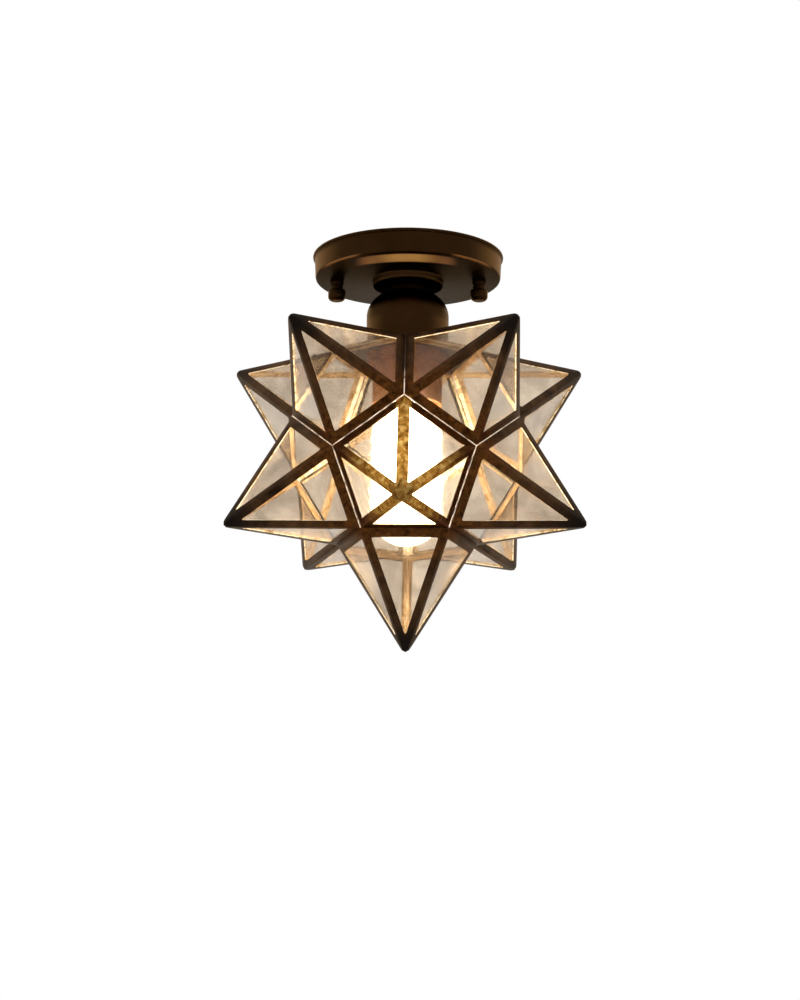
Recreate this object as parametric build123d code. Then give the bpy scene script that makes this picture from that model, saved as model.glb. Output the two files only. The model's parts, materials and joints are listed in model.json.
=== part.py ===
from build123d import *
import os
from math import acos, atan, atan2, cos, degrees, hypot, pi, radians, sin, sqrt, tan

# Star ceiling light: a glass star with eleven points hangs on a short neck under a round canopy.
# Millimetres, +Z up. The origin is the middle of the ceiling plane, and the viewer stands on -Y.

# Canopy: a spun steel dish with a rolled rim and a pressed boss in the middle
canopy_diameter = 120.6
canopy_foot_diameter = 117.0
canopy_height = 15.4
canopy_sheet = 1.0
canopy_edge_radius = 1.3
rim_bead_radius = 1.1
boss_diameter = 45.0
boss_height = 5.0
boss_edge_radius = 2.0

# Ceiling strap with its studs, and the cap nuts that hold the canopy up
strap_length = 106.0
strap_width = 20.0
strap_thickness = 1.8
strap_corner_radius = 5.0
slot_spacing = 66.0
slot_length = 16.0
slot_width = 5.0
stud_spacing = 90.0
stud_diameter = 4.0
stud_reach = 8.0
stud_nut_width = 7.0
stud_nut_height = 3.0
ground_screw_offset = 16.0
ground_screw_diameter = 4.0
ground_screw_head = 8.0
ground_screw_head_height = 2.4
cap_nut_diameter = 11.0
cap_nut_height = 13.6
cap_nut_edge_radius = 0.8
cap_nut_end_radius = 2.8
cap_nut_collar = 8.6
cap_nut_collar_height = 3.2
cap_nut_waist = 7.6
cap_nut_waist_height = 3.2

# Neck, cup and the threaded tube that runs through them
neck_diameter = 30.6
neck_length = 4.9
neck_edge_radius = 0.8
cup_diameter = 51.8
cup_height = 39.4
cup_shoulder = 15.0
cup_wall = 1.0
nipple_diameter = 10.0
nipple_bore = 7.6
nipple_end = 2.0
nipple_grip = 8.0
tube_nut_width = 14.0
tube_nut_height = 4.0
washer_diameter = 20.0
washer_thickness = 1.0

# Lampholder
holder_diameter = 43.6
holder_flange_diameter = 48.6
holder_flange_height = 3.0
holder_drop = 32.7
holder_body_rise = 18.0
holder_cap_height = 12.0
holder_cap_wall = 2.2
holder_cap_radius = 4.0
holder_boss_diameter = 17.0
holder_septum = 7.0
terminal_screw_diameter = 6.0
terminal_screw_height = 2.5
terminal_screw_spacing = 24.0
socket_bore = 27.0
socket_wall = 0.6
socket_length = 19.0
socket_mouth = 39.0
socket_mouth_depth = 6.0
contact_length = 20.0
contact_width = 9.0
contact_thickness = 0.8
ring_diameter = 53.0
ring_height = 7.0
ring_notches = 8
ring_notch_radius = 3.0

# Bulb
bulb_diameter = 44.0
bulb_length = 116.2
bulb_neck = 26.4
bulb_neck_length = 3.0
bulb_shoulder = 15.0
bulb_shoulder_radius = 6.0
bulb_wall = 1.0
bulb_cap_diameter = 26.4
bulb_cap_length = 20.5
bulb_cap_edge_radius = 1.0
bulb_insulator_height = 5.0
bulb_insulator_inset = 2.0
bulb_insulator_tip = 12.0
bulb_contact_diameter = 9.0
bulb_contact_height = 1.0
stem_diameter = 8.0
stem_length = 24.0
stem_disc_diameter = 15.0
stem_disc_thickness = 1.5
filament_count = 4
filament_length = 46.0
filament_diameter = 1.8
filament_circle = 11.0

# Star: eleven five-sided points over the faces of a regular dodecahedron
face_distance = 59.7
point_height = 72.5
frame_sheet = 0.8
ridge_strip = 4.2
base_strip = 5.7
window_radius = 1.2
seam_trim = 0.34
tip_blunt = 2.5
tip_nose_radius = 2.4
tip_nose_angle = 40.0
tip_solid = 9.0
glass_thickness = 2.0
glass_bed = 0.1
glass_gap = 0.2
glass_base_inset = 3.0
plate_sheet = 1.0
plate_flange = 4.0
tack_length = 5.0
tack_width = 1.3
tack_offset = 16.0

# Hinged point: barrel hinge, pull knob and magnet
hinge_length = 20.0
hinge_barrel = 3.0
hinge_pin_diameter = 1.4
hinge_pin_head = 0.8
hinge_pin_head_diameter = 2.8
hinge_leaf = 0.5
hinge_leaf_reach = 5.4
knob_diameter = 3.6
knob_height = 2.2
knob_stem_diameter = 1.8
knob_stem_height = 1.2
knob_inset = 3.0
knob_place = 0.38
magnet_length = 8.0
magnet_width = 2.2

# Clearances
running_gap = 0.05
thread_gap = 0.15
sliding_gap = 0.3
hole_gap = 0.4
seat_gap = 0.1
cut_margin = 1.0

# A rounding over a whole width takes this share of it and leaves a short flat
full_round = 0.98

# Heights of the stack, from the ceiling plane down
canopy_underside = -canopy_height
boss_face = canopy_underside - boss_height
boss_floor = boss_face + canopy_sheet
nipple_top = boss_floor + washer_thickness + tube_nut_height + nipple_end
cup_top = boss_face - neck_length
cup_ceiling = cup_top - cup_wall
plate_top = cup_top - cup_height
plate_underside = plate_top - plate_sheet
star_centre = Vector(0, 0, plate_top - face_distance)
holder_foot = plate_top - holder_drop
holder_shoulder = plate_top + holder_body_rise
holder_top = holder_shoulder + holder_cap_height
bulb_tip = holder_foot + bulb_cap_length + bulb_insulator_height + bulb_contact_height
bulb_bottom = bulb_tip - bulb_length
contact_face = bulb_tip + sliding_gap
septum_face = contact_face + contact_thickness
socket_foot = septum_face - socket_length

# Angles and lengths of the dodecahedron and of the point on each face
golden = (1 + sqrt(5)) / 2
half_dihedral = atan(golden)
ring_elevation = degrees(atan(0.5))
face_inradius = face_distance / golden
face_circumradius = face_inradius / cos(pi / 5)
edge_length = 2 * face_inradius * tan(pi / 5)
edge_distance = face_distance / sin(half_dihedral)
face_slope = atan2(point_height, face_inradius)
slant_height = hypot(point_height, face_inradius)
ridge_spread = face_circumradius / point_height
apex_half_angle = atan2(edge_length / 2, slant_height)
ridge_half_angle = (pi - acos(sin(face_slope) ** 2 * cos(2 * pi / 5) + cos(face_slope) ** 2)) / 2
valley_half_angle = pi - half_dihedral - face_slope

# Azimuth and elevation of each point's axis in degrees; azimuth 0 faces the viewer and grows to the right
quarter_turn = degrees(pi / 2)
fifth_turn = degrees(2 * pi / 5)
lower_ring = ("lower_front", "lower_right", "lower_back_right", "lower_back_left", "lower_left")
upper_ring = ("upper_front_right", "door", "upper_back", "upper_left", "upper_front_left")
star_points = {"bottom": (0, -quarter_turn)}
for step, name in enumerate(lower_ring):
    star_points[name] = (step * fifth_turn, -ring_elevation)
for step, name in enumerate(upper_ring):
    star_points[name] = ((step + 0.5) * fifth_turn, ring_elevation)


def turned(*corners):
    """A body turned about Z, from (radius, height, corner rounding) triples."""
    outline = FilletPolyline(
        *[(radius, height) for radius, height, _ in corners],
        radius=[rounding for _, _, rounding in corners],
        close=True,
    )
    return revolve(Plane.XZ * make_face(outline), Axis.Z)


def tube(outer_diameter, inner_diameter, low, high):
    """A plain ring or tube about Z."""
    inner, outer = inner_diameter / 2, outer_diameter / 2
    return turned((inner, low, 0), (outer, low, 0), (outer, high, 0), (inner, high, 0))


def hexagon_nut(width, height, bore, low):
    """A hexagon nut about Z that stands on the height low."""
    blank = extrude(Pos(0, 0, low) * RegularPolygon(width / 2, 6, major_radius=False), height)
    return blank - Pos(0, 0, low) * Cylinder(bore / 2, 2 * height + cut_margin)


def on_studs(shape):
    """A copy of the shape on each of the two stud axes."""
    return [Pos(side * stud_spacing / 2, 0, 0) * shape for side in (-1, 1)]


def canopy():
    rim = canopy_diameter / 2
    wall = rim - rim_bead_radius
    foot = canopy_foot_diameter / 2
    boss = boss_diameter / 2
    bead, bead_foot = rim_bead_radius * full_round, -2 * rim_bead_radius
    inner_edge = max(canopy_edge_radius - canopy_sheet, 0)
    inner_boss_edge = max(boss_edge_radius - canopy_sheet, 0)
    outer = turned(
        (0, 0, 0), (rim, 0, bead), (rim, bead_foot, bead), (wall, bead_foot, 0),
        (foot, canopy_underside, canopy_edge_radius), (boss, canopy_underside, boss_edge_radius / 2),
        (boss, boss_face, boss_edge_radius), (0, boss_face, 0),
    )
    inner = turned(
        (0, cut_margin, 0), (wall - canopy_sheet, cut_margin, 0), (wall - canopy_sheet, bead_foot, 0),
        (foot - canopy_sheet, canopy_underside + canopy_sheet, inner_edge),
        (boss - canopy_sheet, canopy_underside + canopy_sheet, 0),
        (boss - canopy_sheet, boss_floor, inner_boss_edge), (0, boss_floor, 0),
    )
    dish = outer - inner
    dish -= Pos(0, 0, boss_face) * Cylinder(nipple_diameter / 2 + hole_gap, 2 * boss_height)
    for hole in on_studs(Cylinder(stud_diameter / 2 + hole_gap, 2 * canopy_sheet + cut_margin)):
        dish -= Pos(0, 0, canopy_underside) * hole
    return dish


ground_screw_place = Pos(ground_screw_offset, 0, 0)


def strap():
    bar = extrude(Rectangle(strap_length, strap_width), -strap_thickness)
    bar = fillet(bar.edges().filter_by(Axis.Z), strap_corner_radius)
    drill = 2 * strap_thickness + cut_margin
    slot = extrude(SlotOverall(slot_length, slot_width), drill, both=True)
    for side in (-1, 1):
        bar -= Pos(side * slot_spacing / 2, 0, 0) * slot
    for hole in on_studs(Cylinder(stud_diameter / 2 + running_gap, 2 * drill)):
        bar -= hole
    bar -= Cylinder(nipple_diameter / 2 + hole_gap, 2 * drill)
    ground_hole = Cylinder(ground_screw_diameter / 2 + running_gap, 2 * drill)
    return bar - ground_screw_place * ground_hole


def ground_screw():
    shank, head = ground_screw_diameter / 2, ground_screw_head / 2
    head_face = -strap_thickness - ground_screw_head_height
    return ground_screw_place * turned(
        (0, 0, 0), (shank, 0, 0), (shank, -strap_thickness, 0), (head, -strap_thickness, 0),
        (head, head_face, ground_screw_head_height / 2), (0, head_face, 0),
    )


def studs():
    length = canopy_height + stud_reach
    return Compound(on_studs(Pos(0, 0, -length / 2) * Cylinder(stud_diameter / 2, length)))


def stud_nuts():
    low = -strap_thickness - stud_nut_height
    nut = hexagon_nut(stud_nut_width, stud_nut_height, stud_diameter + 2 * running_gap, low)
    return Compound(on_studs(nut))


def cap_nut(side):
    """Finial nut: collar against the canopy, waist and a round-ended knob, bored for the stud."""
    top = canopy_underside - seat_gap
    collar, waist, knob = cap_nut_collar / 2, cap_nut_waist / 2, cap_nut_diameter / 2
    waist_top = top - cap_nut_collar_height
    knob_top, low = waist_top - cap_nut_waist_height, top - cap_nut_height
    nut = turned(
        (0, top, 0), (collar, top, 0), (collar, waist_top, (collar - waist) / 2), (waist, waist_top, 0),
        (waist, knob_top, 0), (knob, knob_top, cap_nut_edge_radius), (knob, low, cap_nut_end_radius),
        (0, low, 0),
    )
    bore_depth = stud_reach + sliding_gap
    nut -= Pos(0, 0, top - bore_depth / 2) * Cylinder(stud_diameter / 2 + running_gap, bore_depth)
    return Pos(side * stud_spacing / 2, 0, 0) * nut


def neck_collar():
    bore, wall = nipple_diameter / 2 + hole_gap, neck_diameter / 2
    return turned(
        (bore, boss_face, 0), (wall, boss_face, neck_edge_radius), (wall, cup_top, neck_edge_radius),
        (bore, cup_top, 0),
    )


def domed(wall, flat, top, shoulder_foot, low):
    """A round body with a flat top, a domed shoulder and a straight wall."""
    floor = Line((0, low), (wall, low))
    side = Line(floor @ 1, (wall, shoulder_foot))
    dome = TangentArc(side @ 1, (flat, top), tangent=(0, 1))
    roof = Line(dome @ 1, (0, top))
    spine = Line(roof @ 1, floor @ 0)
    return revolve(Plane.XZ * make_face([floor, side, dome, roof, spine]), Axis.Z)


def cup():
    wall, flat = cup_diameter / 2, neck_diameter / 2
    shoulder_foot = cup_top - cup_shoulder
    dome_radius = ((wall - flat) ** 2 + cup_shoulder ** 2) / (2 * (wall - flat))
    dome_centre = wall - dome_radius
    inner_flat = dome_centre + sqrt((dome_radius - cup_wall) ** 2 - (cup_shoulder - cup_wall) ** 2)
    shell = domed(wall, flat, cup_top, shoulder_foot, plate_top)
    shell -= domed(wall - cup_wall, inner_flat, cup_ceiling, shoulder_foot, plate_top - cut_margin)
    return shell - Pos(0, 0, cup_top) * Cylinder(nipple_diameter / 2 + hole_gap, 2 * cup_wall + cut_margin)


def nipple():
    return tube(nipple_diameter, nipple_bore, holder_top - nipple_grip, nipple_top)


def nipple_washer():
    return tube(washer_diameter, nipple_diameter + 2 * hole_gap, boss_floor, boss_floor + washer_thickness)


def nipple_nut():
    bore = nipple_diameter + 2 * running_gap
    return hexagon_nut(tube_nut_width, tube_nut_height, bore, boss_floor + washer_thickness)


def cup_nut():
    bore = nipple_diameter + 2 * running_gap
    return hexagon_nut(tube_nut_width, tube_nut_height, bore, cup_ceiling - tube_nut_height)


def holder_cap():
    """Domed top of the lampholder, with an inner boss that takes the threaded tube."""
    wall, bore = holder_diameter / 2, nipple_diameter / 2 + running_gap
    boss, boss_foot = holder_boss_diameter / 2, holder_top - nipple_grip
    roof = holder_top - holder_cap_wall
    return turned(
        (bore, holder_top, 0), (wall, holder_top, holder_cap_radius), (wall, holder_shoulder, 0),
        (wall - holder_cap_wall, holder_shoulder, 0),
        (wall - holder_cap_wall, roof, holder_cap_radius - holder_cap_wall), (boss, roof, 0),
        (boss, boss_foot, 0), (bore, boss_foot, 0),
    )


def holder_body():
    """Moulded body: flange on the top plate, screw shell seat below and terminal chamber above."""
    wall, flange = holder_diameter / 2, holder_flange_diameter / 2
    seat = socket_bore / 2 + socket_wall + running_gap
    mouth, mouth_roof = socket_mouth / 2, holder_foot + socket_mouth_depth
    chamber, chamber_floor = wall - holder_cap_wall, septum_face + holder_septum
    return turned(
        (0, septum_face, 0), (seat, septum_face, 0), (seat, mouth_roof, 0), (mouth, mouth_roof, 0),
        (mouth, holder_foot, 0), (wall, holder_foot, 0), (wall, plate_top, 0), (flange, plate_top, 0),
        (flange, plate_top + holder_flange_height, 0), (wall, plate_top + holder_flange_height, 0),
        (wall, holder_shoulder, 0), (chamber, holder_shoulder, 0), (chamber, chamber_floor, 0),
        (0, chamber_floor, 0),
    )


def holder_shell():
    return tube(socket_bore + 2 * socket_wall, socket_bore, socket_foot, septum_face)


def holder_contact():
    return extrude(Pos(0, 0, contact_face) * Rectangle(contact_length, contact_width), contact_thickness)


def terminal_screws():
    floor = septum_face + holder_septum
    head = terminal_screw_diameter / 2
    screw = turned(
        (0, floor, 0), (head, floor, 0), (head, floor + terminal_screw_height, terminal_screw_height / 3),
        (0, floor + terminal_screw_height, 0),
    )
    return Compound([Pos(0, side * terminal_screw_spacing / 2, 0) * screw for side in (-1, 1)])


def shade_ring():
    """Threaded ring that clamps the star's top plate on the lampholder, with finger notches."""
    low = plate_underside - ring_height
    ring = tube(ring_diameter, holder_diameter + 2 * thread_gap, low, plate_underside)
    notch = Pos(ring_diameter / 2 + ring_notch_radius / 2, 0, low)
    notch *= Cylinder(ring_notch_radius, 3 * ring_height)
    for step in range(ring_notches):
        ring -= Rot(0, 0, 360 / ring_notches * step) * notch
    return ring


def bulb_outline(inset, top):
    """Tubular bulb shape, drawn in by inset all round, up to the height top."""
    neck, wall = bulb_neck / 2 - inset, bulb_diameter / 2 - inset
    low = bulb_bottom + inset
    nose = wall * full_round
    return turned(
        (0, top, 0), (neck, top, 0), (neck, holder_foot - bulb_neck_length, bulb_shoulder_radius),
        (wall, holder_foot - bulb_shoulder, bulb_shoulder_radius), (wall, low, nose), (0, low, 0),
    )


def bulb_glass():
    return bulb_outline(0, holder_foot) - bulb_outline(bulb_wall, holder_foot + cut_margin)


def bulb_cap():
    wall = bulb_cap_diameter / 2
    top = holder_foot + bulb_cap_length
    return turned((0, holder_foot, 0), (wall, holder_foot, 0), (wall, top, bulb_cap_edge_radius), (0, top, 0))


def bulb_insulator():
    foot = holder_foot + bulb_cap_length
    wall, tip = bulb_cap_diameter / 2 - bulb_insulator_inset, bulb_insulator_tip / 2
    return turned((0, foot, 0), (wall, foot, 0), (tip, foot + bulb_insulator_height, 0),
                  (0, foot + bulb_insulator_height, 0))


def bulb_contact():
    middle = bulb_tip - bulb_contact_height / 2
    return Pos(0, 0, middle) * Cylinder(bulb_contact_diameter / 2, bulb_contact_height)


def bulb_stem():
    stem, disc = stem_diameter / 2, stem_disc_diameter / 2
    foot = holder_foot - stem_length
    return turned(
        (0, holder_foot, 0), (stem, holder_foot, 0), (stem, foot + stem_disc_thickness, 0),
        (disc, foot + stem_disc_thickness, 0), (disc, foot, 0), (0, foot, 0),
    )


def bulb_filaments():
    rod = Cylinder(filament_diameter / 2, filament_length)
    middle = holder_foot - stem_length - filament_length / 2
    turn = 360 / filament_count
    return Compound([Rot(0, 0, turn * step) * Pos(filament_circle / 2, 0, middle) * rod
                     for step in range(filament_count)])


def direction(azimuth, elevation):
    """Unit vector of an azimuth and elevation in degrees."""
    turn, lift = radians(azimuth), radians(elevation)
    return Vector(cos(lift) * sin(turn), -cos(lift) * cos(turn), sin(lift))


def face_plane(azimuth, elevation):
    """Plane of a dodecahedron face: z outwards, x towards one of its corners."""
    axis = direction(azimuth, elevation)
    corner_lift = quarter_turn if -quarter_turn < elevation < 0 else -quarter_turn
    corner = direction(azimuth, elevation + corner_lift)
    return Plane(origin=star_centre + axis * face_distance, x_dir=corner, z_dir=axis)


def pyramid(base, apex):
    """Pyramid with a point's slopes, from the height base up to its apex."""
    foot = Pos(0, 0, base) * RegularPolygon((apex - base) * ridge_spread, 5)
    return loft([foot.face(), Vertex(0, 0, apex)], ruled=True)


def side_plane(step):
    """Outside plane of one of a point's five sides: y runs up the slope from the base edge."""
    turn = 2 * pi / 5 * (step + 0.5)
    out = Vector(cos(turn), sin(turn), 0)
    slope = Vector(0, 0, sin(face_slope)) - out * cos(face_slope)
    normal = Vector(0, 0, cos(face_slope)) + out * sin(face_slope)
    return Plane(origin=out * face_inradius, x_dir=slope.cross(normal), z_dir=normal)


def side_half_width(height, ridge_inset):
    """Half the width of a side at a height up its slope, less an inset from both ridges."""
    return (slant_height - height) * tan(apex_half_angle) - ridge_inset / cos(apex_half_angle)


def tip_nose():
    """Bullet shape that rounds off a point's tip."""
    top = point_height - tip_blunt
    centre = top - tip_nose_radius
    lean = radians(tip_nose_angle)
    start = Vector(tip_nose_radius * cos(lean), centre + tip_nose_radius * sin(lean))
    drop = start.Y + cut_margin
    cone = Line(start, (start.X + drop * tan(lean), -cut_margin))
    floor = Line(cone @ 1, (0, -cut_margin))
    spine = Line(floor @ 1, (0, top))
    nose = TangentArc(spine @ 1, start, tangent=(1, 0))
    return revolve(Plane.XZ * make_face([cone, floor, spine, nose]), Axis.Z)


def point_frame():
    """Folded sheet frame of one point: five sides, each with a three-cornered window."""
    cavity_apex = point_height - frame_sheet / cos(face_slope)
    cavity = split(pyramid(-cut_margin, cavity_apex), Plane.XY.offset(point_height - tip_solid), Keep.BOTTOM)
    frame = (pyramid(seam_trim, point_height) & tip_nose()) - cavity
    half = side_half_width(base_strip, ridge_strip)
    apex = slant_height - ridge_strip / sin(apex_half_angle)
    window = make_face(Polyline((-half, base_strip), (half, base_strip), (0, apex), close=True))
    window = fillet(window.vertices(), window_radius)
    for step in range(5):
        frame -= extrude(side_plane(step) * window, 2 * frame_sheet, both=True)
    return frame


def point_glass():
    """Five flat panes of one point, bedded on the inside of the frame and clear of each other."""
    outer_depth = frame_sheet + glass_bed
    ridge_inset = (outer_depth + glass_thickness) / tan(ridge_half_angle) + glass_gap
    top = (point_height - tip_solid - glass_gap + outer_depth * cos(face_slope)) / sin(face_slope)
    foot_half = side_half_width(glass_base_inset, ridge_inset)
    top_half = side_half_width(top, ridge_inset)
    pane = make_face(Polyline((-foot_half, glass_base_inset), (foot_half, glass_base_inset),
                              (top_half, top), (-top_half, top), close=True))
    return Compound([extrude(side_plane(step).offset(-outer_depth) * pane, -glass_thickness)
                     for step in range(5)])


def top_plate():
    """Shallow five-sided pan that closes the top of the star and takes the lampholder."""
    lift = radians(ring_elevation)

    def inradius(depth):
        return (face_distance + seam_trim - seat_gap - (face_distance - depth) * sin(lift)) / cos(lift)

    def pan(top, low, wall):
        ends = [Pos(0, 0, -depth) * RegularPolygon(inradius(depth) - wall / cos(lift), 5, major_radius=False)
                for depth in (top, low)]
        return loft([end.face() for end in ends], ruled=True)

    plate = pan(0, plate_flange, 0) - pan(plate_sheet, plate_flange + cut_margin, plate_sheet)
    plate -= Cylinder(holder_diameter / 2 + hole_gap, 2 * plate_sheet + cut_margin)
    return face_plane(0, quarter_turn).location * plate


def valley_plane(first, second):
    """Plane across the valley between two points: x outwards, y towards the second, z along the edge."""
    first_axis, second_axis = direction(*star_points[first]), direction(*star_points[second])
    out = (first_axis + second_axis).normalized()
    along = first_axis.cross(second_axis).normalized()
    return Plane(origin=star_centre + out * edge_distance, x_dir=out, z_dir=along)


def valley_spot(side, reach, rise):
    """Place on a valley plane: reach up a point's side from the edge, and rise off that side."""
    lean = valley_half_angle
    return (reach * cos(lean) + rise * sin(lean), side * (reach * sin(lean) - rise * cos(lean)))


def solder_tacks():
    """Small fillets behind the valleys that join each fixed point to its neighbours."""
    corner = seam_trim / sin(half_dihedral)
    back = corner - tack_width * cos(half_dihedral)
    spread = tack_width * sin(half_dihedral)
    section = make_face(Polyline((corner, 0), (back, spread), (back, -spread), close=True))
    fixed = [name for name in star_points if name != "door"]
    tacks = []
    for index, first in enumerate(fixed):
        for second in fixed[index + 1:]:
            closeness = direction(*star_points[first]).dot(direction(*star_points[second]))
            if 0 < closeness < 1:
                plane = valley_plane(first, second)
                for side in (-1, 1):
                    spot = plane.offset(side * tack_offset)
                    tacks.append(extrude(spot * section, tack_length / 2, both=True))
    return Compound(tacks)


hinge_plane = valley_plane("upper_back", "door")
catch_plane = valley_plane("upper_front_right", "door")
hinge_axis_height = hinge_barrel / 2 + sliding_gap
hinge_axis_out = hinge_axis_height / sin(valley_half_angle)
hinge_foot = hinge_axis_height / tan(valley_half_angle)
hinge_row = (hinge_length - 2 * sliding_gap) / 3


def hinge_half(side, rows):
    """One half of the barrel hinge: a leaf on a point's base strip, with barrels in the given rows."""
    leaf_start = hinge_foot + sqrt(hinge_axis_height ** 2 - (hinge_axis_height - hinge_leaf) ** 2)
    leaf = make_face(Polyline(
        valley_spot(side, leaf_start, 0), valley_spot(side, hinge_leaf_reach, 0),
        valley_spot(side, hinge_leaf_reach, hinge_leaf), valley_spot(side, leaf_start, hinge_leaf),
        close=True,
    ))
    root = make_face(Polyline(
        (hinge_axis_out, 0), valley_spot(side, hinge_foot, 0), valley_spot(side, leaf_start + hinge_leaf, 0),
        valley_spot(side, leaf_start + hinge_leaf, hinge_leaf), close=True,
    ))
    half = extrude(leaf, hinge_length / 2, both=True)
    for row in rows:
        middle = row * (hinge_row + sliding_gap)
        half += Pos(0, 0, middle) * extrude(root, hinge_row / 2, both=True)
        half += Pos(hinge_axis_out, 0, middle) * Cylinder(hinge_barrel / 2, hinge_row)
    bore = hinge_pin_diameter / 2 + running_gap
    half -= Pos(hinge_axis_out, 0, 0) * Cylinder(bore, hinge_length + cut_margin)
    return hinge_plane.location * half


def hinge_pin():
    rod = Cylinder(hinge_pin_diameter / 2, hinge_length)
    for end in (-1, 1):
        middle = end * (hinge_length + hinge_pin_head) / 2
        rod += Pos(0, 0, middle) * Cylinder(hinge_pin_head_diameter / 2, hinge_pin_head)
    return hinge_plane.location * Pos(hinge_axis_out, 0, 0) * rod


def knob_spot():
    """Plane of the pull knob, on the door's strip beside the valley with its front neighbour."""
    upward = 1 if catch_plane.z_dir.Z > 0 else -1
    out, across = valley_spot(1, knob_inset, 0)
    rise_out, rise_across = valley_spot(1, 0, 1)
    origin = catch_plane.from_local_coords((out, across, upward * (0.5 - knob_place) * edge_length))
    normal = catch_plane.x_dir * rise_out + catch_plane.y_dir * rise_across
    return Plane(origin=origin, z_dir=normal)


def door_knob():
    stem, head = knob_stem_diameter / 2, knob_diameter / 2
    top = knob_stem_height + knob_height
    return knob_spot().location * turned(
        (0, 0, 0), (stem, 0, 0), (stem, knob_stem_height, 0), (head, knob_stem_height, knob_height / 4),
        (head, top, knob_height / 2), (0, top, 0),
    )


def door_magnet():
    """Bar magnet behind the front neighbour's edge, on which the door's edge lands."""
    upward = 1 if catch_plane.z_dir.Z > 0 else -1
    corner = Vector((seam_trim - seat_gap / 2) / sin(half_dihedral), -seat_gap / (2 * cos(half_dihedral)))
    inwards = Vector(-cos(half_dihedral), -sin(half_dihedral)) * magnet_width
    doorwards = Vector(-cos(half_dihedral), sin(half_dihedral)) * magnet_width
    section = make_face(Polyline(corner, corner + inwards, corner + inwards + doorwards, corner + doorwards,
                                 close=True))
    place = upward * (0.5 - knob_place) * edge_length
    return extrude(catch_plane.offset(place) * section, magnet_length / 2, both=True)


nodes = {
    "canopy": canopy(),
    "ceiling_strap": strap(),
    "canopy_studs": studs(),
    "stud_nuts": stud_nuts(),
    "ground_screw": ground_screw(),
    "cap_nut_left": cap_nut(-1),
    "cap_nut_right": cap_nut(1),
    "neck_collar": neck_collar(),
    "cup": cup(),
    "nipple": nipple(),
    "nipple_washer": nipple_washer(),
    "nipple_nut": nipple_nut(),
    "cup_nut": cup_nut(),
    "holder_cap": holder_cap(),
    "holder_body": holder_body(),
    "holder_shell": holder_shell(),
    "holder_contact": holder_contact(),
    "terminal_screws": terminal_screws(),
    "shade_ring": shade_ring(),
    "bulb_glass": bulb_glass(),
    "bulb_cap": bulb_cap(),
    "bulb_insulator": bulb_insulator(),
    "bulb_contact": bulb_contact(),
    "bulb_stem": bulb_stem(),
    "bulb_filaments": bulb_filaments(),
    "top_plate": top_plate(),
    "solder_tacks": solder_tacks(),
    "hinge_leaf_frame": hinge_half(-1, (-1, 1)),
    "hinge_leaf_door": hinge_half(1, (0,)),
    "hinge_pin": hinge_pin(),
    "door_knob": door_knob(),
    "door_magnet": door_magnet(),
}

frame_shape, glass_shape = point_frame(), point_glass()
for point_name, aim in star_points.items():
    place = face_plane(*aim).location
    nodes[f"frame_{point_name}"] = place * frame_shape
    nodes[f"glass_{point_name}"] = place * glass_shape

os.makedirs("parts", exist_ok=True)
for node_name, shape in nodes.items():
    export_step(shape, f"parts/{node_name}.step")
hinge_point = hinge_plane.from_local_coords((hinge_axis_out, 0, 0))
print("star centre height", round(star_centre.Z, 3), "door hinge at", hinge_point, "axis", hinge_plane.z_dir)
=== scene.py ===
# %% [markdown]
# # Star ceiling light
# A glass star lantern hangs on a short neck close under the ceiling. The metal parts and their sizes come
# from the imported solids, which arrive as a fixed frame. This file dresses that frame: it folds the sheet
# frames of the star again with soft edges, spins the canopy and the cup smooth, and gives every surface
# its finish.

# %% Load the frame
import json
from itertools import combinations
from math import asin, atan, cos, degrees, hypot, pi, radians, sin, sqrt, tan

import bmesh
import bpy
from mathutils import Matrix, Vector


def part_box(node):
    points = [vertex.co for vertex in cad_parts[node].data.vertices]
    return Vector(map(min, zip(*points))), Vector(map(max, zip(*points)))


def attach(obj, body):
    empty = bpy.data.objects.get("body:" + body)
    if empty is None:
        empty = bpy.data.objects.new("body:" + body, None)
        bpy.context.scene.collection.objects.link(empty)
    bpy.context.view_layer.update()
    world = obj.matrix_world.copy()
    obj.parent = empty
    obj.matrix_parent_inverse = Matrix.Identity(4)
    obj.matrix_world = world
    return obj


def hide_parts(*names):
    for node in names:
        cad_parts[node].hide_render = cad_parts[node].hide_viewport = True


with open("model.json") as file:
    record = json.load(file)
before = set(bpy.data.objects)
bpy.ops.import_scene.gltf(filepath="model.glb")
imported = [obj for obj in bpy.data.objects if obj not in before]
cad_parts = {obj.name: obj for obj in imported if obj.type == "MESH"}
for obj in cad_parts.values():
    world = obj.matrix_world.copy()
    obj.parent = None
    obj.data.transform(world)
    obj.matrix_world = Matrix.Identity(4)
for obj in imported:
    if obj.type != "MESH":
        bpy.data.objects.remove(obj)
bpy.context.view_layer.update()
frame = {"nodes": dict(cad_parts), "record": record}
nodes = frame["nodes"]
bodies = frame["record"]["behaviour"]["bodies"]
body_of = {node: body for body, members in bodies.items() for node in members}
mm = 0.001

# %% [markdown]
# ## Small helpers for finishes
# A finish is a node tree. Wiring it by hand takes three lines a node, so one helper adds a node, sets its
# options and fills its inputs, from plain values or from the outputs of other nodes. The others make what
# nearly every finish needs: products, ramps, colour blends and smooth steps.


# %% Node helpers
def add(tree, kind, inputs=None, **options):
    """Adds a node, sets its options, and fills its inputs with values or with links."""
    node = tree.nodes.new(kind)
    for option, value in options.items():
        setattr(node, option, value)
    for socket, value in (inputs or {}).items():
        if isinstance(value, bpy.types.NodeSocket):
            tree.links.new(value, node.inputs[socket])
        else:
            node.inputs[socket].default_value = value
    return node


def maths(tree, operation, *values, **options):
    """The result of one maths node on the given values."""
    return add(tree, "ShaderNodeMath", dict(enumerate(values)), operation=operation, **options).outputs[0]


def product(tree, first, *others):
    """All the given masks multiplied together."""
    for other in others:
        first = maths(tree, "MULTIPLY", first, other)
    return first


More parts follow.
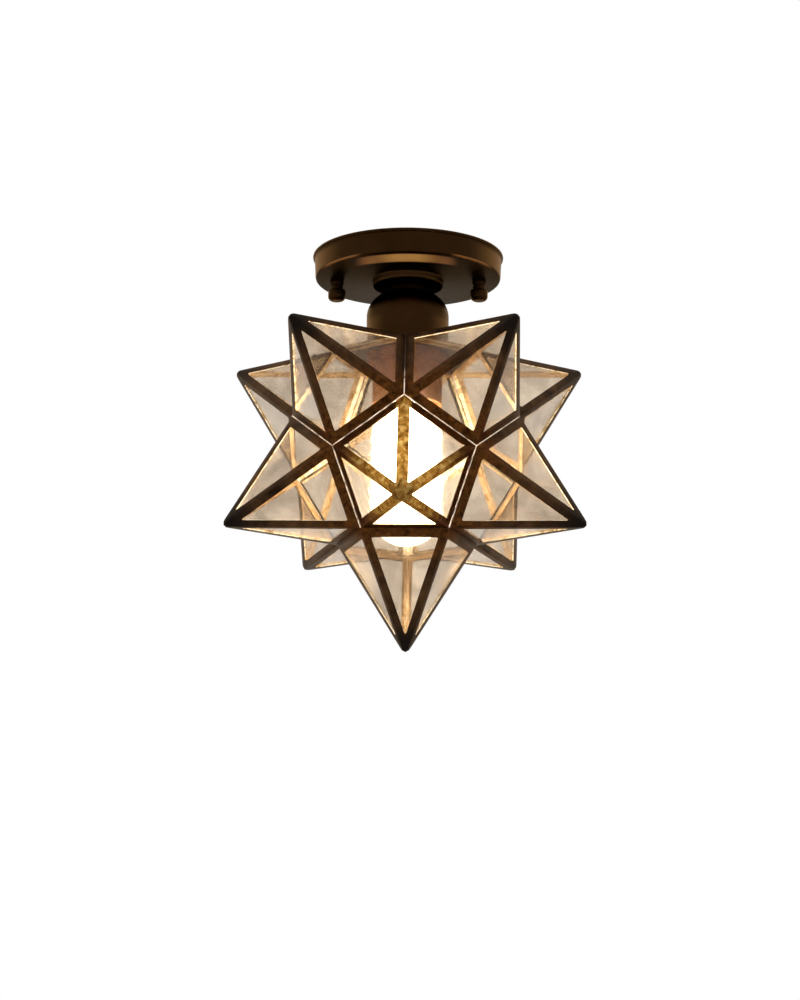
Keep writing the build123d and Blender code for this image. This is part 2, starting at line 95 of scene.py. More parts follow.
def most(tree, first, *others):
    """The largest of the given masks."""
    for other in others:
        first = maths(tree, "MAXIMUM", first, other)
    return first


print("node helpers ready")


# %% Ramps, blends and steps
def ramp(tree, share, *stops):
    """A colour ramp through (place, colour) stops."""
    node = add(tree, "ShaderNodeValToRGB", {"Fac": share})
    elements = node.color_ramp.elements
    for index, (place, colour) in enumerate(stops):
        element = elements[index] if index < 2 else elements.new(place)
        element.position = place
        element.color = (*colour, 1)
    return node.outputs["Color"]


# A Mix node for colours has them at its inputs 6 and 7, and the mixed colour at its output 2.
first_colour, second_colour, mixed_colour = 6, 7, 2


def blend(tree, share, first, second):
    """The first colour where share is 0 and the second where it is 1."""
    node = add(tree, "ShaderNodeMix", {0: share}, data_type="RGBA")
    for socket, colour in ((first_colour, first), (second_colour, second)):
        if isinstance(colour, bpy.types.NodeSocket):
            tree.links.new(colour, node.inputs[socket])
        else:
            node.inputs[socket].default_value = (*colour, 1)
    return node.outputs[mixed_colour]


def spread(tree, value, low, high):
    """A 0 to 1 value stretched to run from low to high."""
    node = add(tree, "ShaderNodeMapRange", {"Value": value, "To Min": low, "To Max": high})
    return node.outputs["Result"]


def soft_step(tree, value, start, end):
    """A mask that goes smoothly from 0 where the value is start to 1 where it is end."""
    node = add(tree, "ShaderNodeMapRange", {"Value": value, "From Min": start, "From Max": end},
               interpolation_type="SMOOTHSTEP")
    return node.outputs["Result"]


print("ramps, blends and steps ready")


# %% Empty finish
def new_finish(name):
    """An empty material with its output, and the Object coordinates that its patterns read."""
    finish = bpy.data.materials.new(name)
    finish.use_nodes = True
    tree = finish.node_tree
    tree.nodes.clear()
    output = tree.nodes.new("ShaderNodeOutputMaterial")
    place = tree.nodes.new("ShaderNodeTexCoord").outputs["Object"]
    return finish, tree, output, place


def surface(tree, output, inputs):
    """A Principled surface that feeds the material's output."""
    shader = add(tree, "ShaderNodeBsdfPrincipled", inputs)
    tree.links.new(shader.outputs["BSDF"], output.inputs["Surface"])


print("finishes start from new_finish() and end in surface()")

# %% [markdown]
# ## Two shared effects
# The bronze of the real light is not one brown: the patina is mottled in soft blotches with a finer grain
# on top. A picture of a patina would need a UV map on every piece, but noise on Object coordinates needs
# none and stays sharp close up. Several finishes use it at different sizes, so it is a node group with a
# size and a contrast. The screw threads of the studs, the tube and the lamp cap are too fine to model, so
# a second group turns height into ridges, which give them all their look.


# %% Empty group
def new_group(name, inputs, outputs):
    """A node group that reads a place, and has named numbers as inputs (with defaults) and as outputs."""
    group = bpy.data.node_groups.new(name, "ShaderNodeTree")
    group.interface.new_socket("Place", in_out="INPUT", socket_type="NodeSocketVector")
    for label, default in inputs.items():
        socket = group.interface.new_socket(label, in_out="INPUT", socket_type="NodeSocketFloat")
        socket.default_value = default
    for label in outputs:
        group.interface.new_socket(label, in_out="OUTPUT", socket_type="NodeSocketFloat")
    given = group.nodes.new("NodeGroupInput").outputs
    result = group.nodes.new("NodeGroupOutput").inputs
    return group, given, result


print("groups start from new_group()")

# %% Mottled patina group
grain_per_blotch = 9

mottle_group, given, result = new_group(
    "mottled patina", {"Size": 60, "Contrast": 3}, ["Blotches", "Grain", "Height"])
broad = add(mottle_group, "ShaderNodeTexNoise", {
    "Vector": given["Place"], "Scale": given["Size"], "Detail": 3, "Roughness": 0.62, "Distortion": 0.6,
}).outputs["Fac"]
finer_size = maths(mottle_group, "MULTIPLY", given["Size"], grain_per_blotch)
grain = add(mottle_group, "ShaderNodeTexNoise", {
    "Vector": given["Place"], "Scale": finer_size, "Detail": 4, "Roughness": 0.7,
}).outputs["Fac"]
centred = maths(mottle_group, "SUBTRACT", broad, 0.5)
blotches = maths(mottle_group, "MULTIPLY_ADD", centred, given["Contrast"], 0.5, use_clamp=True)
relief = maths(mottle_group, "MULTIPLY_ADD", grain, 0.5, blotches)
for label, socket in (("Blotches", blotches), ("Grain", grain), ("Height", relief)):
    mottle_group.links.new(socket, result[label])
print("group:", mottle_group.name)

# %% Thread group
thread_group, given, result = new_group("thread ridges", {"Half pitch": 0.5 * mm}, ["Height"])
upward = add(thread_group, "ShaderNodeSeparateXYZ", {"Vector": given["Place"]}).outputs["Z"]
half_turns = maths(thread_group, "DIVIDE", upward, given["Half pitch"])
thread_group.links.new(maths(thread_group, "PINGPONG", half_turns, 1.0), result["Height"])
print("group:", thread_group.name)


# %% Groups in a finish
def mottled(tree, place, size, contrast):
    """The mottled patina group, placed in a finish."""
    inputs = {"Place": place, "Size": size, "Contrast": contrast}
    return add(tree, "ShaderNodeGroup", inputs, node_tree=mottle_group).outputs


def threaded(tree, place, pitch):
    """The height of a thread's ridges, from the thread group placed in a finish."""
    inputs = {"Place": place, "Half pitch": pitch / 2}
    return add(tree, "ShaderNodeGroup", inputs, node_tree=thread_group).outputs["Height"]


def bump(tree, height, depth, strength):
    """A bumped normal from a height between 0 and about 1, for a relief of the given depth."""
    node = add(tree, "ShaderNodeBump", {"Height": height, "Distance": depth, "Strength": strength})
    return node.outputs["Normal"]


print("groups placed by mottled() and threaded(), reliefs by bump()")

# %% [markdown]
# ## Masks by place
# Painted light and shade sit in certain spots: highlights on the canopy's edges, lamp light before the
# lamp, shade near the tips and round the neck. A mask by place is a number from 0 to 1, worked out from
# the Object coordinates, so these marks stay on their piece in every view and pose. Smooth steps make the
# masks, because no such mark has a hard border. Some masks are measured from the star, so its centre and
# its directions are worked out here too.


# %% Distances
def apart(tree, place):
    """The X, Y and Z of a place, with X measured from the middle either way."""
    axes = add(tree, "ShaderNodeSeparateXYZ", {"Vector": place}).outputs
    return maths(tree, "ABSOLUTE", axes["X"]), axes["Y"], axes["Z"]


def away_from(tree, place, spot):
    """Distance of a place from one spot."""
    return add(tree, "ShaderNodeVectorMath", {0: place, 1: spot}, operation="DISTANCE").outputs["Value"]


def from_axis(tree, place):
    """Distance of a place from the light's upright axis."""
    flat = add(tree, "ShaderNodeVectorMath", {0: place, 1: (1, 1, 0)}, operation="MULTIPLY").outputs[0]
    return away_from(tree, flat, (0, 0, 0))


def between(tree, value, low, high, soft):
    """Mask of the values from low to high, with soft ends."""
    above = soft_step(tree, value, low - soft, low)
    below = soft_step(tree, value, high + soft, high)
    return product(tree, above, below)


print("distances and spans ready")

# %% Where the star is
seam = 0.34 * mm
tip_distance = 129.7 * mm
ring_lift = degrees(atan(0.5))
plate_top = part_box("top_plate")[1].z
face_distance = (plate_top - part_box("frame_bottom")[1].z - seam) / 2
star_centre = Vector((0, 0, plate_top - face_distance))


def direction(turn, lift):
    """Unit vector of a turn and a lift in degrees; turn 0 is the front and grows to the right."""
    turn, lift = radians(turn), radians(lift)
    return Vector((cos(lift) * sin(turn), -cos(lift) * cos(turn), sin(lift)))


print("faces lie", round(face_distance / mm, 2), "mm from the centre at height", round(star_centre.z, 4))
print("points lean", round(ring_lift, 2), "degrees up or down")

# %% [markdown]
# ## Canopy bronze
# The canopy, cup and nuts have a smooth satin bronze, so dark that mostly reflections show. The finish is
# oil-rubbed. On the front of the canopy's underside a painted highlight runs from copper to a gold
# crescent, and thinner painted highlights lie along its lower edge, the sides of its wall and of the cup,
# and the front of the boss. Round the neck, painted shade makes the bronze nearly black and dulls its
# reflection. Such marks could be painted on by hand, but a mask has named sizes that are easy to change.
# In a step's pair of values the mask is 0 at the first and 1 at the second, and heights count down from
# the ceiling.

# %% Gold crescent, a painted highlight
crescent_glow = (26 * mm, 5 * mm)
crescent_ends = (34 * mm, 22 * mm)
crescent_outside = (56 * mm, 53 * mm)
crescent_hollow = (58.5 * mm, 62 * mm)
hollow_centre = (0, 21.5 * mm, -15.4 * mm)
crescent_height = (-16 * mm, -15.2 * mm)
glow_share, ends_share = 0.7, 0.3


def crescent(tree, place):
    """Mask of the gold crescent, a painted highlight on the front of the canopy's underside, bright in its
    middle.
    """
    sideways, _, height = apart(tree, place)
    glow = product(tree, soft_step(tree, sideways, *crescent_glow), glow_share)
    ends = product(tree, soft_step(tree, sideways, *crescent_ends), ends_share)
    outside = soft_step(tree, from_axis(tree, place), *crescent_outside)
    hollow = soft_step(tree, away_from(tree, place, hollow_centre), *crescent_hollow)
    level = between(tree, height, *crescent_height, soft=0.8 * mm)
    return product(tree, maths(tree, "ADD", glow, ends), outside, hollow, level)


print("crescent:", round(2 * crescent_ends[0] / mm), "mm wide")

# %% Painted edge highlights
edge_sides = (33 * mm, 48 * mm)
edge_height = (-15.3 * mm, -14.4 * mm)
edge_radius = (57.1 * mm, 57.4 * mm)
wall_sides = (38 * mm, 58 * mm)
wall_height = (-13 * mm, -5 * mm)
cup_sides = (13 * mm, 25 * mm)
cup_height = (-70 * mm, -46 * mm)
within_cup = (28 * mm, 26.5 * mm)
boss_front = (-4 * mm, -14 * mm)
boss_height = (-19.4 * mm, -16 * mm)
boss_radius = (21.6 * mm, 23.5 * mm)
# Strengths of the painted highlights on the canopy's lower edge, wall, cup and boss.
edge_highlight, wall_highlight, cup_highlight, boss_highlight = 0.12, 0.055, 0.042, 0.02


def painted_edge_highlights(tree, place):
    """Mask of painted highlights on the canopy's lower edge, the sides of its wall and of the cup, and the
    front of the boss.
    """
    sideways, depth, height = apart(tree, place)
    radius = from_axis(tree, place)
    edge = product(tree, between(tree, sideways, *edge_sides, soft=7 * mm),
                   between(tree, height, *edge_height, soft=0.3 * mm),
                   soft_step(tree, radius, *edge_radius), edge_highlight)
    wall = product(tree, soft_step(tree, sideways, *wall_sides),
                   between(tree, height, *wall_height, soft=2 * mm), wall_highlight)
    cup = product(tree, soft_step(tree, sideways, *cup_sides),
                  between(tree, height, *cup_height, soft=4 * mm),
                  soft_step(tree, radius, *within_cup), cup_highlight)
    boss = product(tree, soft_step(tree, depth, *boss_front),
                   between(tree, radius, *boss_radius, soft=0.6 * mm),
                   between(tree, height, *boss_height, soft=0.7 * mm), boss_highlight)
    return most(tree, edge, wall, cup, boss)


# The lower edge, wall, cup and boss carry painted highlights.
print("worn: lower edge, wall, cup and boss")

# %% Canopy finish
# Heights of the underside and of the painted shade round the neck.
underside_height = (-20 * mm, -15.2 * mm)
neck_height = (-33 * mm, -20.2 * mm)
below_boss = (-19.2 * mm, -20.2 * mm)
# Weak painted highlights read as copper, strong ones as gold.
copper_fringe = 0.3


def canopy_bronze():
    """Dark satin bronze, with painted shade round the neck and painted highlights from copper to gold."""
    finish, tree, output, place = new_finish("canopy bronze")
    patina = mottled(tree, place, size=34, contrast=2.2)
    height = apart(tree, place)[2]
    underside = between(tree, height, *underside_height, soft=0.8 * mm)
    # Painted shade round the neck, under the boss and on the top of the cup.
    painted_shade = product(tree, between(tree, height, *neck_height, soft=4 * mm),
                    soft_step(tree, height, *below_boss),
                    soft_step(tree, from_axis(tree, place), *within_cup))
    # All painted highlights of the canopy: the gold crescent and the lighter edges.
    wear_and_highlight = most(tree, crescent(tree, place), painted_edge_highlights(tree, place))
    dark = blend(tree, patina["Blotches"], (0.022, 0.0095, 0.0028), (0.032, 0.0145, 0.005))
    # Painted shade makes the bronze nearly black round the neck.
    dark = blend(tree, painted_shade, dark, (0.005, 0.002, 0.0012))
    # Colours of the painted highlights: copper where weak, gold where strong.
    copper = blend(tree, soft_step(tree, wear_and_highlight, 0, copper_fringe), dark, (0.3, 0.08, 0.02))
    gold = blend(tree, patina["Grain"], (0.95, 0.46, 0.12), (1.0, 0.6, 0.2))
    sheen = blend(tree, underside, (1.0, 0.78, 0.6), (0.6, 0.56, 0.51))
    surface(tree, output, {
        "Base Color": blend(tree, wear_and_highlight, copper, gold), "Metallic": spread(tree, wear_and_highlight, 1.0, 0.25),
        "Roughness": spread(tree, patina["Grain"], 0.32, 0.46),
        # The painted shade also dulls the reflection round the neck.
        "Specular Tint": blend(tree, painted_shade, sheen, (0.22, 0.14, 0.11)),
        "Normal": bump(tree, patina["Grain"], depth=0.02 * mm, strength=0.4),
    })
    return finish


canopy_finish = canopy_bronze()
print("finish:", canopy_finish.name)

# %% [markdown]
# ## Frame bronze, outside and inside
# The star's frames carry a rougher patina. Painted shade makes it nearly black at the tips, and painted
# lamp light makes it a warm brown before the lamp. The edges are rubbed a little lighter: the bevelled
# edges will bring a mask named worn for that, because a place alone doesn't tell an edge from a face. The
# strips that cross in front of the lamp carry a painted glow of gold. Inside, the same sheet was never
# blackened, so the lamp lights it up as blotchy gold, browned close to the lamp.

# %% Painted glow on the front strips
front_tip = star_centre + direction(0, -ring_lift) * tip_distance
glow_reach = (76 * mm, 30 * mm)
glow_foot = (-204 * mm, -196 * mm)
ridge_width = (5.5 * mm, 3.5 * mm)
ridge_depth = (-64 * mm, -70 * mm)
ridge_top = (-110 * mm, -115 * mm)
blunt_tip = (4 * mm, 20 * mm)
strips_share, blunt_share = 0.7, 0.35


def painted_front_glow(tree, place):
    """Mask of the painted gold glow on the strips before the lamp: those round the front tip, and all of
    its upright ridge.
    """
    sideways, depth, height = apart(tree, place)
    distance = away_from(tree, place, front_tip)
    strips = product(tree, soft_step(tree, distance, *glow_reach), soft_step(tree, height, *glow_foot),
                     strips_share)
    ridge = product(tree, soft_step(tree, sideways, *ridge_width), soft_step(tree, depth, *ridge_depth))
    blunt = spread(tree, soft_step(tree, distance, *blunt_tip), blunt_share, 1.0)
    return product(tree, most(tree, strips, ridge), blunt, soft_step(tree, height, *ridge_top))


# The gold before the lamp is a painted glow.
print("gilding reaches", round(glow_reach[0] / mm), "mm from the front tip")

# %% Frame finish outside
# Reach of the painted shade that darkens the tips.
tip_shade_reach = (104 * mm, 126 * mm)
# Centre and reach of the painted lamp light on the frames before the lamp.
front_middle = (0, -80 * mm, -160 * mm)
lamp_light_reach = (80 * mm, 56 * mm)


def frame_bronze():
    """Mottled dark bronze: painted shade at the tips, painted lamp light in brown and gold before the
    lamp, lighter edges.
    """
    finish, tree, output, place = new_finish("frame bronze")
    patina = mottled(tree, place, size=70, contrast=2.6)
    fine = mottled(tree, place, size=240, contrast=2.8)
    worn = add(tree, "ShaderNodeAttribute", attribute_name="worn").outputs["Fac"]
    # Painted lamp light: the frames before the lamp turn warm brown.
    warm = soft_step(tree, away_from(tree, place, front_middle), *lamp_light_reach)
    # Painted shade: the tips turn nearly black.
    painted_tip_shade = soft_step(tree, away_from(tree, place, star_centre), *tip_shade_reach)
    dark = blend(tree, patina["Blotches"], (0.012, 0.005, 0.0016), (0.078, 0.036, 0.014))
    brown = blend(tree, fine["Blotches"], (0.022, 0.0075, 0.0018), (0.115, 0.042, 0.009))
    # Patina, with painted lamp light before the lamp and painted shade at the tips.
    patina_and_painted_light = blend(tree, painted_tip_shade, blend(tree, warm, dark, brown), (0.006, 0.004, 0.003))
    wear_and_highlight = blend(tree, product(tree, worn, patina["Blotches"]), patina_and_painted_light, (0.1, 0.055, 0.024))
    # Colours of the painted glow before the lamp.
    gold = ramp(tree, fine["Blotches"], (0.0, (0.15, 0.052, 0.008)), (0.5, (0.62, 0.29, 0.045)),
                (1.0, (1.0, 0.7, 0.22)))
    surface(tree, output, {
        "Base Color": blend(tree, painted_front_glow(tree, place), wear_and_highlight, gold), "Metallic": 0.85,
        "Roughness": spread(tree, patina["Grain"], 0.32, 0.52),
        # The painted lamp light also warms the reflection.
        "Specular Tint": blend(tree, warm, (0.85, 0.71, 0.59), (0.62, 0.42, 0.28)),
        "Normal": bump(tree, patina["Height"], depth=0.04 * mm, strength=0.5),
    })
    return finish


frame_finish = frame_bronze()
print("finish:", frame_finish.name)

# %% Frame finish inside
bulb_nose = (0, 0, -165 * mm)
browned_reach = (72 * mm, 48 * mm)


def frame_gold():
    """Blotchy pale gold, browned close to the lamp."""
    finish, tree, output, place = new_finish("frame gold inside")
    patina = mottled(tree, place, size=200, contrast=5.2)
    gold = ramp(tree, patina["Blotches"], (0.0, (0.42, 0.31, 0.15)), (0.25, (0.9, 0.79, 0.57)),
                (1.0, (1.0, 0.97, 0.87)))
    browned = soft_step(tree, away_from(tree, place, bulb_nose), *browned_reach)
    surface(tree, output, {
        "Base Color": blend(tree, browned, gold, (0.24, 0.205, 0.155)), "Metallic": 0.2,
        "Roughness": spread(tree, patina["Grain"], 0.32, 0.55),
        "Normal": bump(tree, patina["Height"], depth=0.05 * mm, strength=0.6),
    })
    return finish


gold_finish = frame_gold()
print("finish:", gold_finish.name)

# %% Top plate finish
parting = 0.1 * mm


def plate_bronze():
    """The top plate: dark above, gold below, parted at the middle of its thickness."""
    finish, tree, output, place = new_finish("top plate bronze")
    patina = mottled(tree, place, size=110, contrast=4.0)
    low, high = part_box("top_plate")
    middle = (low.z + high.z) / 2
    below = soft_step(tree, apart(tree, place)[2], middle + parting, middle - parting)
    dark = blend(tree, patina["Blotches"], (0.021, 0.0095, 0.0036), (0.062, 0.031, 0.0135))
    gold = ramp(tree, patina["Blotches"], (0.0, (0.2, 0.11, 0.045)), (1.0, (0.6, 0.42, 0.22)))
    surface(tree, output, {
        "Base Color": blend(tree, below, dark, gold), "Metallic": spread(tree, below, 0.85, 0.2),
        "Roughness": spread(tree, patina["Grain"], 0.32, 0.52),
        "Normal": bump(tree, patina["Height"], depth=0.04 * mm, strength=0.5),
    })
    return finish


plate_finish = plate_bronze()
print("finish:", plate_finish.name)

# %% [markdown]
# ## Warm glass
# The panes are grey-beige sheet glass that waves a little, so what lies behind them wobbles, and some
# areas let more light through than others. Fine specks of haze scatter part of it, and the lamp glows
# through them with a soft outline. An index of refraction of 1.3, lower than window glass has, keeps the
# white room from veiling the panes. Real light passes straight through a flat pane, but a path tracer
# blocks shadow rays at glass. For those rays only, a plain transparent surface stands in, with the square
# root of the tint, because a ray crosses two surfaces a pane.


# %% Star glass
def star_glass():
    """Tinted, wavy glass with specks of haze, which lets shadow rays through."""
    finish, tree, output, place = new_finish("warm star glass")
    tint, bright_tint = (0.56, 0.49, 0.41), (0.95, 0.86, 0.745)
    clear, hazy, milky = (0.02,) * 3, (0.36,) * 3, (0.6,) * 3
    clouds = mottled(tree, place, size=30, contrast=2.2)
    specks = mottled(tree, place, size=7000, contrast=3.0)
    waves = add(tree, "ShaderNodeTexNoise", {
        "Vector": place, "Scale": 55, "Detail": 1.5, "Roughness": 0.4, "Distortion": 1.2,
    }).outputs["Fac"]
    glass = add(tree, "ShaderNodeBsdfPrincipled", {
        "Base Color": blend(tree, clouds["Blotches"], tint, bright_tint), "Metallic": 0.0,
        "Roughness": ramp(tree, specks["Blotches"], (0.76, clear), (0.88, hazy), (0.98, milky)),
        "IOR": 1.3, "Specular Tint": (0.8, 0.62, 0.46, 1), "Transmission Weight": 1.0,
        "Normal": bump(tree, waves, depth=0.25 * mm, strength=0.55),
    }).outputs["BSDF"]
    root_tint = (*[sqrt(channel) for channel in tint], 1)
    open_way = add(tree, "ShaderNodeBsdfTransparent", {"Color": root_tint}).outputs["BSDF"]
    shadow = add(tree, "ShaderNodeLightPath").outputs["Is Shadow Ray"]
    either = add(tree, "ShaderNodeMixShader", {0: shadow, 1: glass, 2: open_way})
    tree.links.new(either.outputs[0], output.inputs["Surface"])
    return finish


glass_finish = star_glass()
print("finish:", glass_finish.name)

# %% [markdown]
# ## The lit bulb
# The bulb is opal glass with light behind it: it is so bright that it reads as plain white in the middle
# and only turns warm and dim near its outline, where the glass is seen edge on. Layer Weight gives that
# edge. The lower end, away from the filaments, is dimmer too. A point lamp could light the star as well,
# but a glowing surface casts the soft light of a wide bulb.

# %% Bulb glow
dim_end_height = (-160 * mm, -188 * mm)
dim_end_share = 0.7


def bulb_glow():
    """Opal glass lit from behind, dimmer at its outline and at its lower end."""
    finish, tree, output, place = new_finish("lit opal bulb")
    outline = add(tree, "ShaderNodeLayerWeight", {"Blend": 0.5}).outputs["Facing"]
    cloud = mottled(tree, place, size=40, contrast=1.2)
    glow = ramp(tree, outline, (0.0, (1.0, 0.88, 0.69)), (0.3, (0.7, 0.57, 0.39)),
                (0.55, (0.1, 0.078, 0.05)), (1.0, (0.022, 0.015, 0.008)))
    dim_end = product(tree, soft_step(tree, apart(tree, place)[2], *dim_end_height), dim_end_share)
    surface(tree, output, {
        "Base Color": blend(tree, cloud["Blotches"], (0.86, 0.85, 0.8), (0.92, 0.91, 0.87)),
        "Roughness": 0.22,
        "Emission Color": blend(tree, dim_end, glow, (0.25, 0.21, 0.15)), "Emission Strength": 42.0,
    })
    return finish


bulb_finish = bulb_glow()
print("finish:", bulb_finish.name)

# %% [markdown]
# ## Plain hardware
# The strap, studs, tube and nuts are zinc plated steel, the screw shell and contacts are brass, the
# lampholder is dull brown phenolic. Little of it shows, so they share one recipe: a colour that shifts
# over the patina's blotches, a roughness that follows its grain, and, where there is a thread, ridges.


# %% Hardware recipe
smoother_by, rougher_by = 0.07, 0.1


def hardware(name, low, high, metallic, roughness, size=220, pitch=0.0, depth=0.01 * mm, gloss=0.5):
    """A finish between two colours; with a pitch it has a thread of the given depth instead of grain."""
    finish, tree, output, place = new_finish(name)
    patina = mottled(tree, place, size=size, contrast=2.0)
    height = threaded(tree, place, pitch) if pitch else patina["Grain"]
    surface(tree, output, {
        "Base Color": blend(tree, patina["Blotches"], low, high), "Metallic": metallic,
        "Roughness": spread(tree, patina["Grain"], roughness - smoother_by, roughness + rougher_by),
        "Specular IOR Level": gloss, "Normal": bump(tree, height, depth=depth, strength=0.7),
    })
    return finish


print("hardware() makes the plain finishes")

# %% Hardware finishes
stud_thread = {"pitch": 0.8 * mm, "depth": 0.3 * mm}
lamp_thread = {"pitch": 3.6 * mm, "depth": 0.5 * mm}
brass_low, brass_high = (0.6, 0.42, 0.17), (0.78, 0.58, 0.27)

zinc = hardware("zinc plate", (0.5, 0.5, 0.47), (0.66, 0.66, 0.63), 1.0, 0.32)
zinc_thread = hardware("zinc thread", (0.46, 0.46, 0.43), (0.62, 0.62, 0.6), 1.0, 0.3, **stud_thread)
brass = hardware("socket brass", brass_low, brass_high, 1.0, 0.28, **lamp_thread)
brass_plain = hardware("contact brass", brass_low, brass_high, 1.0, 0.28)
nickel = hardware("lamp cap nickel", (0.6, 0.58, 0.53), (0.74, 0.72, 0.68), 1.0, 0.22, **lamp_thread)
nickel_plain = hardware("plain nickel", (0.5, 0.49, 0.47), (0.62, 0.61, 0.59), 1.0, 0.24)
phenolic = hardware("brown phenolic", (0.2, 0.075, 0.02), (0.3, 0.12, 0.036), 0.0, 0.45,
                    size=60, gloss=0.12)
black_glass = hardware("black insulator", (0.012, 0.012, 0.014), (0.024, 0.023, 0.026), 0.0, 0.2)
green_paint = hardware("green earth screw", (0.03, 0.2, 0.06), (0.06, 0.3, 0.1), 0.6, 0.35)
solder = hardware("dull solder", (0.2, 0.18, 0.15), (0.4, 0.36, 0.3), 0.9, 0.4)
phosphor = hardware("filament phosphor", (0.7, 0.46, 0.06), (0.85, 0.62, 0.14), 0.0, 0.6)
print("hardware finishes made")


# %% Clear glass of the stem
def stem_glass():
    """Clear glass with a breath of haze."""
    finish, tree, output, place = new_finish("clear stem glass")
    haze = mottled(tree, place, size=120, contrast=1.5)
    surface(tree, output, {
        "Base Color": blend(tree, haze["Blotches"], (0.93, 0.94, 0.92), (0.98, 0.98, 0.96)),
        "Roughness": spread(tree, haze["Grain"], 0.02, 0.08),
        "Metallic": 0.0, "IOR": 1.5, "Transmission Weight": 1.0,
    })
    return finish


stem_finish = stem_glass()
print("finish:", stem_finish.name)

# %% [markdown]
# ## Dressing the solids that stay
# Many solids already have the right shape, so they only take a finish, and one table says which. Whatever
# is spun or folded anew below takes the place of its solid instead.

# %% Give finishes to the solids
finish_of = {
    "ceiling_strap": zinc, "canopy_studs": zinc_thread, "stud_nuts": zinc, "nipple": zinc_thread,
    "nipple_washer": zinc, "nipple_nut": zinc, "cup_nut": zinc, "ground_screw": green_paint,
    "holder_body": phenolic, "holder_cap": phenolic, "shade_ring": phenolic, "holder_shell": brass,
    "holder_contact": brass_plain, "terminal_screws": brass_plain, "bulb_cap": nickel,
    "bulb_contact": nickel_plain, "bulb_insulator": black_glass, "bulb_stem": stem_finish,
    "bulb_filaments": phosphor, "bulb_glass": bulb_finish, "top_plate": plate_finish,
    "solder_tacks": solder, "hinge_leaf_frame": frame_finish, "hinge_leaf_door": frame_finish,
    "hinge_pin": frame_finish, "door_knob": frame_finish, "door_magnet": nickel_plain,
    "canopy": canopy_finish, "neck_collar": canopy_finish, "cup": canopy_finish,
    "cap_nut_left": canopy_finish, "cap_nut_right": canopy_finish,
}
finish_of.update({node: glass_finish for node in nodes if node.startswith("glass_")})
finish_of.update({node: frame_finish for node in nodes if node.startswith("frame_")})
for node, finish in finish_of.items():
    nodes[node].data.materials.clear()
    nodes[node].data.materials.append(finish)
print("solids with a finish:", len(finish_of), "without:", sorted(set(nodes) - set(finish_of)))

# %% [markdown]
# ## The folded star frames
# Each point is one sheet, folded into a five-sided pyramid with a window cut in every side. A cone with
# five segments is that pyramid. A Boolean could cut the windows, but an inset keeps the strips round them
# even: it draws the strips, the wider one at the foot comes from scaling the window towards its top, and
# a vertex bevel rounds its corners and blunts the tip. Solidify then gives the sheet its thickness, and a
# last bevel breaks every sharp edge, because a real fold always catches a line of light. Faces that look
# inward take the gold, and the cut edges stay dark.

# %% Sizes of a point
sheet = 0.8 * mm
ridge_strip = 4.2 * mm
base_strip = 5.7 * mm
window_round = 1.2 * mm
tip_round = 7.0 * mm
fold_round = 0.3 * mm
point_height = 72.5 * mm
golden = (1 + sqrt(5)) / 2

base_inradius = face_distance / golden
base_circumradius = base_inradius / cos(pi / 5)
print("corners of a point's foot lie", round(base_circumradius / mm, 2), "mm from its axis")


# %% Fold one point
def folded_point():
    """One point standing on the XY plane, tip up, with a base corner on +X."""
    bm = bmesh.new()
    height = point_height - seam
    foot_radius = base_circumradius * height / point_height
    bmesh.ops.create_cone(bm, cap_ends=False, segments=5, radius1=foot_radius, radius2=0, depth=height)
    bmesh.ops.translate(bm, verts=bm.verts, vec=(0, 0, seam + height / 2))
    bmesh.ops.rotate(bm, verts=bm.verts, cent=(0, 0, 0), matrix=Matrix.Rotation(-pi / 2, 3, "Z"))
    tip = max(bm.verts, key=lambda vert: vert.co.z)
    windows = list(bm.faces)
    bmesh.ops.inset_individual(bm, faces=windows, thickness=ridge_strip, depth=0, use_even_offset=True)
    for window in windows:
        top = max(window.verts, key=lambda vert: vert.co.z)
        foot = [vert for vert in window.verts if vert is not top]
        length = (top.co - (foot[0].co + foot[1].co) / 2).length
        keep = 1 - (base_strip - ridge_strip) / length
        bmesh.ops.scale(bm, vec=(keep, keep, keep), verts=foot, space=Matrix.Translation(-top.co))
    corners = [vert for window in windows for vert in window.verts]
    bmesh.ops.delete(bm, geom=windows, context="FACES_ONLY")
    for verts, size, steps in ((corners, window_round, 3), ([tip], tip_round, 4)):
        bmesh.ops.bevel(bm, geom=verts, offset=size, offset_type="OFFSET", segments=steps, profile=0.5,
                        affect="VERTICES", material=-1)
    bmesh.ops.solidify(bm, geom=list(bm.faces), thickness=sheet)
    for vert in bm.verts:
        vert.co.z = max(vert.co.z, seam)
    bm.normal_update()
    return bm


template = folded_point()
template_top = max(vert.co.z for vert in template.verts)
print("folded point:", len(template.faces), "faces, tip at", round(template_top / mm, 2), "mm")

# %% Break its edges and mark inside and outside
sharp_fold = radians(40)
smooth_up_to = radians(25)
inward_limit = -0.3


def soften(bm):
    """Rounds folds and cut edges, masks them as worn, and gives inward faces the second material."""
    worn = bm.faces.layers.float.new("worn")
    folds = [edge for edge in bm.edges if edge.is_convex and edge.calc_face_angle(0) > sharp_fold]
    rounded = bmesh.ops.bevel(bm, geom=folds, offset=fold_round, offset_type="OFFSET", segments=2,
                              profile=0.5, affect="EDGES", material=-1, clamp_overlap=True)
    for face in rounded["faces"]:
        face[worn] = 1.0
    for face in bm.faces:
        middle = face.calc_center_median()
        outward = Vector((middle.x, middle.y, 0)).normalized()
        outward.z = base_inradius / point_height
        face.material_index = 1 if face.normal.dot(outward) < inward_limit else 0
        face.smooth = True
    for edge in bm.edges:
        edge.smooth = edge.calc_face_angle(0) < smooth_up_to
    return len(folds)


print("edges rounded:", soften(template))


